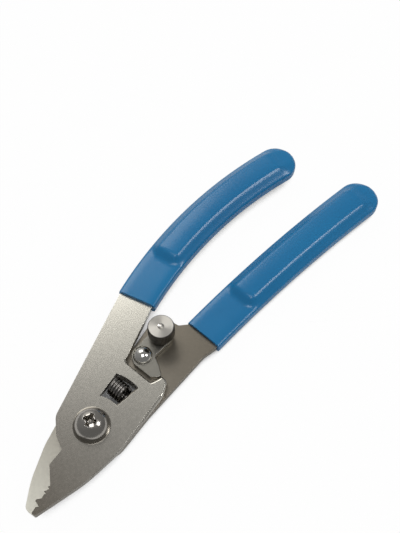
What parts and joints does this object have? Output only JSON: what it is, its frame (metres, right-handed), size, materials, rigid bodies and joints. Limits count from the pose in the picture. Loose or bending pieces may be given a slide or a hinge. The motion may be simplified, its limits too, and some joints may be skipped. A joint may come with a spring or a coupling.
{
  "type": "fibre stripper",
  "caption": "Hand tool with two crossed notched steel blades on a pivot screw, a coil spring in their windows, a thumb latch with a knurled knob, and dipped handle grips.",
  "frame": {"origin": "On the pivot axis, at the underside of the pivot nut, which is the face the tool lies on.", "axes": "+Y runs from the pivot towards the handles, +Z is the pivot axis and points to the screw head, +X is to the right seen from +Z with the handles up."},
  "size_m": [0.0449, 0.1409, 0.0115],
  "materials": {
    "front_steel": "satin, polished edges",
    "rear_steel": "satin",
    "grip": "dipped, glossy",
    "screw_steel": "polished",
    "washer_steel": "satin",
    "spring_steel": "dark bright wire",
    "latch_steel": "satin",
    "rivet_steel": "polished",
    "knob_steel": "turned face, knurled side"
  },
  "bodies": {
    "rear": {"rear_blade": "rear_steel", "rear_grip": "grip", "pivot_screw": "screw_steel", "spring_washer": "washer_steel", "pivot_nut": "screw_steel", "latch_rivet": "rivet_steel", "jaw_spring": "spring_steel"},
    "front": {"front_blade": "front_steel", "front_grip": "grip"},
    "latch": {"latch_lever": "latch_steel", "knob": "knob_steel", "knob_stud": "knob_steel"}
  },
  "joints": [
    {"name": "jaw_open", "type": "hinge", "parent": "rear", "child": "front", "pos_m": [0, 0, 0.005], "axis": [0, 0, 1], "range_deg": [0, 8], "deforming": ["jaw_spring"]},
    {"name": "latch_swing", "type": "hinge", "parent": "rear", "child": "latch", "pos_m": [-0.0034, 0.0236, 0.005], "axis": [0, 0, 1], "range_deg": [0, 52]}
  ],
  "couplings": [
    {"joint": "latch_swing", "follows": "jaw_open", "ratio": 6.5}
  ]
}
